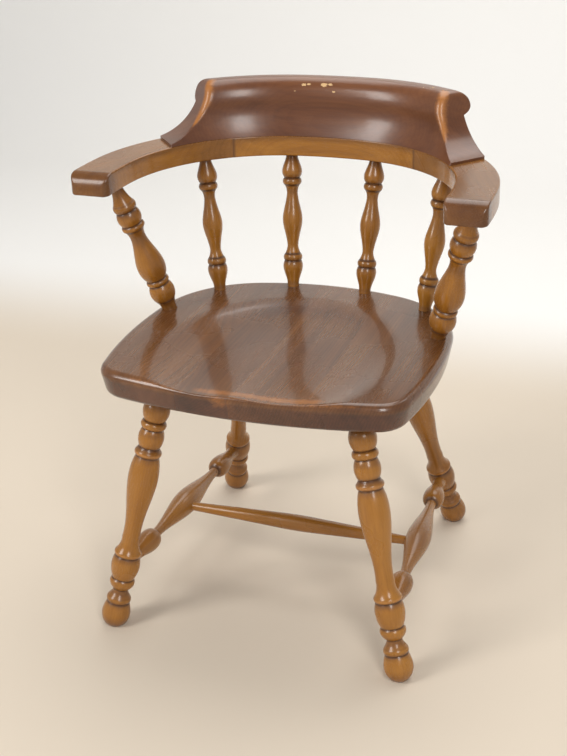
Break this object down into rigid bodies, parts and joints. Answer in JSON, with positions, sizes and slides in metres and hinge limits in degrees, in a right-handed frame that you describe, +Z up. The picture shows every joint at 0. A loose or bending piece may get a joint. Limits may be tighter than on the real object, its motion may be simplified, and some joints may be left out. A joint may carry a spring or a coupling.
{
  "type": "captain's chair",
  "caption": "Turned wooden armchair: dished plank seat, splayed legs with stretchers, flat bent arm bow on spindles, scooped crest rail.",
  "frame": {"origin": "on the floor, below the middle of the overall box", "axes": "+Z up; the chair faces -Y; +X is to the right of someone who stands in front and looks at it"},
  "size_m": [0.6134, 0.506, 0.7625],
  "materials": {
    "seat_wood": "dark brown stain, gloss lacquer, grain front to back",
    "turned_wood": "honey brown stain, darker in the grooves, gloss lacquer",
    "bow_wood": "mid brown stain, darker on top, gloss lacquer",
    "crest_wood": "dark walnut stain, gloss lacquer, worn along the edges",
    "dowel_wood": "bare, inside the joints"
  },
  "bodies": {
    "root": {"seat_board_1": "seat_wood", "seat_board_2": "seat_wood", "seat_board_3": "seat_wood", "seat_board_4": "seat_wood", "leg_front_right": "turned_wood", "leg_front_left": "turned_wood", "leg_rear_right": "turned_wood", "leg_rear_left": "turned_wood", "side_stretcher_right": "turned_wood", "side_stretcher_left": "turned_wood", "cross_stretcher": "turned_wood", "back_spindle_inner_right": "turned_wood", "back_spindle_inner_left": "turned_wood", "back_spindle_outer_right": "turned_wood", "back_spindle_outer_left": "turned_wood", "arm_post_right": "turned_wood", "arm_post_left": "turned_wood", "arm_right": "bow_wood", "arm_left": "bow_wood", "bow_back": "bow_wood", "bow_dowels_right": "dowel_wood", "bow_dowels_left": "dowel_wood", "crest_rail": "crest_wood", "crest_dowels": "dowel_wood"}
  },
  "joints": []
}
